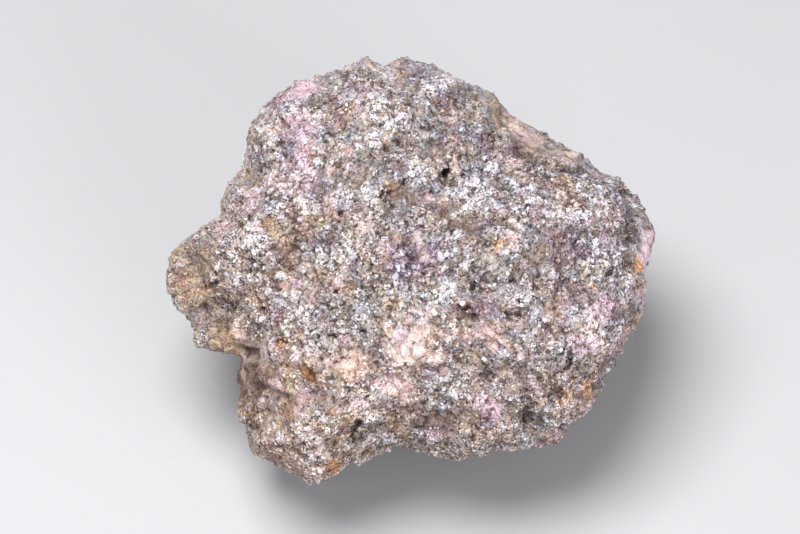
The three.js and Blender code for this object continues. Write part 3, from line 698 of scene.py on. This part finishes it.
def mineral_group():
    """The rock's colouring, of the skin and all crystals: a deep, a middle and a pale colour by chance, tinted by
    the masks."""
    name = "Mineral colouring"
    if name in bpy.data.node_groups:
        return bpy.data.node_groups[name]
    inputs = {"Chance": "Float", **{mask.capitalize(): "Float" for mask in MASKS}}
    inputs |= {"Deep": "Color", "Middle": "Color", "Pale": "Color"}
    group, start, end = new_group(name, inputs, {"Color": "Color", "Roughness": "Float"})
    given = start.outputs
    even = math_node(group, "MULTIPLY_ADD", given["Worn"], -0.55, 1)
    off = math_node(group, "MULTIPLY", math_node(group, "SUBTRACT", given["Chance"], 0.5), even)
    chance = math_node(group, "ADD", off, 0.5)
    colour = mix_node(group, range_node(group, chance, 0, 0.5), given["Deep"], given["Middle"])
    colour = mix_node(group, range_node(group, chance, 0.5, 1), colour, given["Pale"])
    for label, less, more in (
        ("Warm", srgb(222, 234, 250), srgb(255, 240, 210)),
        ("Rosy", srgb(246, 250, 248), srgb(254, 229, 243)),
    ):
        colour = mix_node(group, 1, colour, mix_node(group, given[label], less, more), "MULTIPLY")
    frost, pink, rose = (
        math_node(group, "MULTIPLY", given[label], range_node(group, chance, low, high))
        for label, low, high in (("Frost", 0.15, 0.65), ("Pink", -0.3, 0.5), ("Rose", -0.2, 0.6))
    )
    stain = mix_node(group, chance, srgb(138, 88, 48), srgb(220, 164, 96))
    tints = [
        (given["Violet"], srgb(208, 180, 210), "MULTIPLY", 0.9),
        (given["Tan"], srgb(238, 218, 190), "MULTIPLY", 0.9),
        (given["Umber"], srgb(177, 157, 151), "MULTIPLY", 0.95),
        (pink, srgb(232, 200, 189), "MIX", 0.6),
        (rose, srgb(226, 192, 208), "MIX", 0.62),
        (frost, srgb(213, 213, 222), "MIX", 0.75),
        (given["Rust"], stain, "MIX", 0.85),
        # painted shade in cracks, pits, pinholes and low places, tinted brown
        (given["Hollow"], srgb(122, 94, 80), "MULTIPLY", 0.95),
    ]
    for mask, tint, blend, amount in tints:
        colour = mix_node(group, math_node(group, "MULTIPLY", mask, amount), colour, tint, blend)
    feed(group, end, {"Color": colour, "Roughness": range_node(group, given["Chance"], 0.3, 1, 0.75, 0.48)})
    return group


def grit_group():
    """Fine grit: a height, and a number that changes from speck to speck."""
    name = "Grit"
    if name in bpy.data.node_groups:
        return bpy.data.node_groups[name]
    inputs = {"Vector": "Vector", "Scale": "Float"}
    group, start, end = new_group(name, inputs, {"Height": "Float", "Chance": "Float"})
    specks = group.nodes.new("ShaderNodeTexVoronoi")
    cloud = group.nodes.new("ShaderNodeTexNoise")
    at, scale = start.outputs["Vector"], start.outputs["Scale"]
    feed(group, specks, {"Vector": at, "Scale": scale})
    feed(group, cloud, {"Vector": at, "Scale": math_node(group, "MULTIPLY", scale, 0.55), "Detail": 3})
    split = group.nodes.new("ShaderNodeSeparateColor")
    feed(group, split, {"Color": specks.outputs["Color"]})
    height = math_node(group, "SUBTRACT", cloud.outputs[0], specks.outputs["Distance"])
    feed(group, end, {"Chance": split.outputs["Red"], "Height": height})
    return group


def mineral_material(name, deep, middle, pale, grit_scale, grit_height, by_flake):
    """One mineral's finish: the rock's colouring with this mineral's three colours, and a bump of fine grit. The
    chance is each flake's own with a little of the grit's, or on the skin the grit's, lowered between crystals as
    painted shade."""
    material = bpy.data.materials.new(name)
    material.use_nodes = True
    tree = material.node_tree
    shader = tree.nodes["Principled BSDF"]
    place = tree.nodes.new("ShaderNodeTexCoord")
    grit = tree.nodes.new("ShaderNodeGroup")
    grit.node_tree = grit_group()
    feed(tree, grit, {"Vector": place.outputs["Object"], "Scale": grit_scale})
    colouring = tree.nodes.new("ShaderNodeGroup")
    colouring.node_tree = mineral_group()
    feed(tree, colouring, {"Deep": deep, "Middle": middle, "Pale": pale})
    for mask in MASKS + ["chance"] * by_flake:
        read = tree.nodes.new("ShaderNodeAttribute")
        read.attribute_name = mask
        feed(tree, colouring, {mask.capitalize(): read.outputs["Fac"]})
    if by_flake:
        speck = math_node(tree, "MULTIPLY_ADD", grit.outputs["Chance"], SPECKLE, -SPECKLE / 2)
        chance = math_node(tree, "ADD", colouring.inputs["Chance"].links[0].from_socket, speck)
    else:
        # Painted shade between crystals: the skin's chance, and so its colour, is lowered there, but not where the
        # rock is worn.
        worn = range_node(tree, colouring.inputs["Worn"].links[0].from_socket, 0, 0.8, GAP_SHADE, 1)
        chance = math_node(tree, "MULTIPLY", grit.outputs["Chance"], worn)
    feed(tree, colouring, {"Chance": chance})
    bump = tree.nodes.new("ShaderNodeBump")
    feed(tree, bump, {"Distance": grit_height, "Height": grit.outputs["Height"]})
    seen = {"Base Color": colouring.outputs["Color"], "Roughness": colouring.outputs["Roughness"]}
    feed(tree, shader, {**seen, "Normal": bump.outputs["Normal"]})
    return material


def lay_crystals(name, count, radius, tilt_degrees, lift, liking, colours, shape, seed):
    """Scatters one mineral over the skin as one piece. The radius's logarithm follows a bell curve, and the radius is
    less where the rock is worn."""
    rng = np.random.default_rng(seed)
    place, normal, masks = scatter(rng, count, liking)
    axes = tilted_frames(rng, normal, tilt_degrees)
    size = radius * MM * np.exp(np.clip(rng.normal(0, SIZE_SPREAD, count), -1, 0.4)) * (1 - WORN_LESS * masks["worn"])
    chance = 0.5 + (rng.random(count) - 0.5) * LONE_SHARE
    chance += sum(share * noise(place / MM / across, seed + more) for across, share, more in CLUMPS)
    chance += sum(share * masks[mask] for mask, share in PATCH_CHANCE.items())
    chance = np.clip(chance, 0, 1)
    at = place + normal * (lift * size)[:, None]
    points, faces, places, each = crystals(rng, at, axes, size, *shape)
    points[:, 2] = np.maximum(points[:, 2], 0)
    values = {mask: np.repeat(found, each) for mask, found in masks.items()}
    values["chance"] = np.repeat(chance, each)
    material = mineral_material(name.replace("_", " "), *colours, *CRYSTAL_GRIT, True)
    return make_mesh(name, points, faces, False, places, values, material)


class LumpSettings(bpy.types.PropertyGroup):
    """The lump's skin."""

    splits: IntProperty(name="Splits", description="Squares along each face of the cube it is drawn on", default=127)
    relief: FloatProperty(name="Relief", description="Strength of the finest knobs", default=1.0)
    sink: FloatProperty(name="Sink", description="How far the skin lies under the solid's, for the flakes on it",
                        default=0.12 * MM, unit="LENGTH", precision=5)
    deep: FloatVectorProperty(name="Deep", description="Darkest specks", subtype="COLOR", default=srgb(70, 46, 48))
    middle: FloatVectorProperty(name="Middle", description="Main colour", subtype="COLOR", default=srgb(160, 149, 145))
    pale: FloatVectorProperty(name="Pale", description="Palest specks", subtype="COLOR", default=srgb(216, 206, 208))


class FlakeSettings(bpy.types.PropertyGroup):
    """The mica flakes and the mineral grains."""

    plates: IntProperty(name="Plates", description="Mica plates in each of the two colours", default=20000)
    grains: IntProperty(name="Grains", description="Grains of each of the two minerals", default=19000)
    grit: IntProperty(name="Grit", description="Specks of fine mica", default=45000)
    plate_radius: FloatProperty(name="Plate radius", description="Middling radius of a mica plate", unit="LENGTH",
                                default=0.27 * MM, precision=5)
    grain_radius: FloatProperty(name="Grain radius", description="Middling radius of a grain", unit="LENGTH",
                                default=0.25 * MM, precision=5)
    grit_radius: FloatProperty(name="Grit radius", description="Middling radius of a speck", unit="LENGTH",
                               default=0.17 * MM, precision=5)
    tilt: FloatProperty(name="Tilt", description="How far the plates lean off the surface", default=16)


class StageSettings(bpy.types.PropertyGroup):
    """The floor, the light and the camera."""

    distance: FloatProperty(name="Distance", description="From the camera to the lump", unit="LENGTH", default=0.9)
    lens: FloatProperty(name="Lens", description="Focal length in millimetres", default=263.5)
    power: FloatProperty(name="Power", description="Strength of the key light, in watts", default=6.75)
    floor: FloatVectorProperty(name="Floor", description="Its colour", subtype="COLOR", default=srgb(168, 168, 171))


class LEPIDOLITE_OT_skin(bpy.types.Operator):
    """Make the lump's skin, which stands in for the solid"""

    bl_idname = "lepidolite.skin"
    bl_label = "Lump skin"

    def execute(self, context):
        settings = context.scene.lepidolite_lump
        directions, squares, places = cube_ball(settings.splits)
        points, deep = cut_pits(lump_points(gather(directions)))
        normals = corner_normals(points, squares)
        masks = colour_masks(points)
        rise = np.zeros(len(points))
        for size, height, seed in RELIEF:
            rise += height * (2 * np.abs(noise(points / size, seed)) - KNOB_SINK)
        rise *= 1 - WORN_EVEN * masks["worn"]
        size, seed, level, full, depth = PINHOLES
        pinholes = ease((noise(points / size, seed) - level) / full)
        flat = points @ FACE.T
        rise += fold_rise(flat[:, :2], CREASES) * (flat[:, 2] > 0)
        rise -= depth * pinholes + CRACK_DEPTH * masks["hollow"]
        # Painted shade: pits, pinholes and low places are darkened in colour through the hollow mask, on top of the
        # cracks' painted shade.
        pit_shade, pinhole_shade, low_shade, low = PAINTED_SHADE
        painted_shade = pit_shade * deep ** 3 + pinhole_shade * pinholes + low_shade * ease(-rise / low)
        masks["hollow"] = np.clip(masks["hollow"] + painted_shade, 0, 1)
        rise += sum(height * masks[name] for name, height in PATCH_RELIEF.items())
        points = points + normals * (rise * settings.relief - settings.sink / MM)[:, None] + MIDDLE
        points[:, 2] = np.maximum(points[:, 2], 0)
        material = mineral_material("Lepidolite matrix", settings.deep, settings.middle, settings.pale,
                                    *SKIN_GRIT, False)
        skin = make_mesh(SKIN, points * MM, squares, True, places, masks, material)
        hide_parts(NODE)
        return {"FINISHED"}


class LEPIDOLITE_OT_mica(bpy.types.Operator):
    """Lay the lilac and silvery mica plates and the fine mica grit on the skin"""

    bl_idname = "lepidolite.mica"
    bl_label = "Mica plates"

    def execute(self, context):
        settings = context.scene.lepidolite_flakes
        radius = settings.plate_radius / MM
        lilac = (srgb(84, 50, 70), srgb(178, 166, 173), srgb(226, 218, 225))
        silver = (srgb(122, 103, 110), srgb(202, 200, 206), srgb(227, 226, 231))
        lay_crystals("lilac_mica_plates", settings.plates, radius, settings.tilt, 0,
                     lambda m: 1 + 0.6 * m["violet"] - 0.9 * m["worn"], lilac, PLATE, 101)
        lay_crystals("silver_mica_plates", settings.plates, radius * 0.9, settings.tilt, 0.08,
                     lambda m: 0.7 + 2.2 * m["frost"] - 0.65 * m["worn"], silver, PLATE, 102)
        lay_crystals("fine_mica_grit", settings.grit, settings.grit_radius / MM, 30, 0,
                     lambda m: 0.8 + 1.2 * m["frost"] + 0.6 * m["violet"] - 0.5 * m["worn"], lilac, GRIT, 105)
        return {"FINISHED"}


class LEPIDOLITE_OT_grains(bpy.types.Operator):
    """Lay the grey quartz and the rosy feldspar grains on the skin"""

    bl_idname = "lepidolite.grains"
    bl_label = "Quartz and feldspar grains"

    def execute(self, context):
        settings = context.scene.lepidolite_flakes
        radius = settings.grain_radius / MM
        quartz = (srgb(78, 57, 60), srgb(147, 141, 137), srgb(192, 188, 184))
        feldspar = (srgb(128, 96, 88), srgb(199, 182, 173), srgb(231, 215, 207))
        lay_crystals("quartz_grains", settings.grains, radius, 50, -0.4,
                     lambda m: 1 + 0.4 * m["umber"] - 0.5 * m["frost"] - 0.8 * m["worn"], quartz, GRAIN, 103)
        lay_crystals("feldspar_grains", settings.grains, radius * 0.9, 50, -0.35,
                     lambda m: 0.7 + 1.6 * m["pink"] - 0.4 * m["violet"] - 0.5 * m["worn"], feldspar, GRAIN, 104)
        return {"FINISHED"}


class LEPIDOLITE_OT_stage(bpy.types.Operator):
    """Make the floor, the soft light and the camera"""

    bl_idname = "lepidolite.stage"
    bl_label = "Stage"

    def execute(self, context):
        settings = context.scene.lepidolite_stage
        self.floor(settings)
        self.lights(context.scene, settings)
        self.camera(context.scene, settings)
        context.scene.view_settings.view_transform = "Standard"
        return {"FINISHED"}

    def floor(self, settings):
        """A flat sheet that fills every view."""
        half = 3.0
        mesh = bpy.data.meshes.new("floor")
        mesh.from_pydata([(-half, -half, 0), (half, -half, 0), (half, half, 0), (-half, half, 0)], [], [(0, 1, 2, 3)])
        material = bpy.data.materials.new("Pale floor")
        material.use_nodes = True
        tree = material.node_tree
        feed(tree, tree.nodes["Principled BSDF"], {"Base Color": settings.floor, "Roughness": 0.7})
        mesh.materials.append(material)
        floor = put("floor", mesh)

    def lights(self, scene, settings):
        """A wide soft light above, weaker ones in front at both sides, and a pale world."""
        scene.world = bpy.data.worlds.new("Studio")
        scene.world.use_nodes = True
        tree = scene.world.node_tree
        feed(tree, tree.nodes["Background"], {"Color": (1, 1, 1), "Strength": 0.36})
        for name, place, size, power in (
            ("key", (-0.14, -0.08, 0.63), 0.4, settings.power),
            ("fill", (0.34, -0.6, 0.26), 0.5, settings.power * 0.7),
            ("low fill", (-0.5, -0.5, 0.22), 0.4, settings.power * 0.15),
        ):
            light = bpy.data.lights.new(name, "AREA")
            light.shape = "DISK"
            light.size = size
            light.energy = power
            lamp = put(name, light)
            lamp.location = place
            lamp.rotation_euler = (Vector((0, 0, 0.02)) - Vector(place)).to_track_quat("-Z", "Y").to_euler()

    def camera(self, scene, settings):
        """Looks square on to the broad face, and aims a little left of the lump's middle."""
        right, up, out = FACE
        aim = (MIDDLE - right * 1.7 + up * 0.15) * MM
        camera = put("camera", bpy.data.cameras.new("camera"))
        camera.data.lens = settings.lens
        camera.data.sensor_width = 36
        camera.data.clip_end = 20
        camera.location = aim + out * settings.distance
        camera.rotation_euler = Vector(-out).to_track_quat("-Z", "Y").to_euler()
        scene.camera = camera


class LEPIDOLITE_PT_panel(bpy.types.Panel):
    """Lists the steps and their settings"""

    bl_label = "Raw lepidolite"
    bl_idname = "LEPIDOLITE_PT_panel"
    bl_space_type = "VIEW_3D"
    bl_region_type = "UI"
    bl_category = "Lepidolite"

    def draw(self, context):
        for group, (_, *operators) in STEPS.items():
            box = self.layout.box()
            settings = getattr(context.scene, group)
            for name in settings.bl_rna.properties.keys():
                if name not in ("rna_type", "name"):
                    box.prop(settings, name)
            for operator in operators:
                box.operator(operator.bl_idname)


STEPS = {
    "lepidolite_lump": (LumpSettings, LEPIDOLITE_OT_skin),
    "lepidolite_flakes": (FlakeSettings, LEPIDOLITE_OT_mica, LEPIDOLITE_OT_grains),
    "lepidolite_stage": (StageSettings, LEPIDOLITE_OT_stage),
}
CLASSES = [*(kind for kinds in STEPS.values() for kind in kinds), LEPIDOLITE_PT_panel]


def register():
    for kind in CLASSES:
        bpy.utils.register_class(kind)
    for name, (settings, *_) in STEPS.items():
        setattr(bpy.types.Scene, name, PointerProperty(type=settings))


def unregister():
    for name in STEPS:
        delattr(bpy.types.Scene, name)
    for kind in reversed(CLASSES):
        bpy.utils.unregister_class(kind)


def main():
    register()
    bpy.ops.lepidolite.stage()
    bpy.ops.lepidolite.skin()
    bpy.ops.lepidolite.mica()
    bpy.ops.lepidolite.grains()


if __name__ == "__main__":
    main()
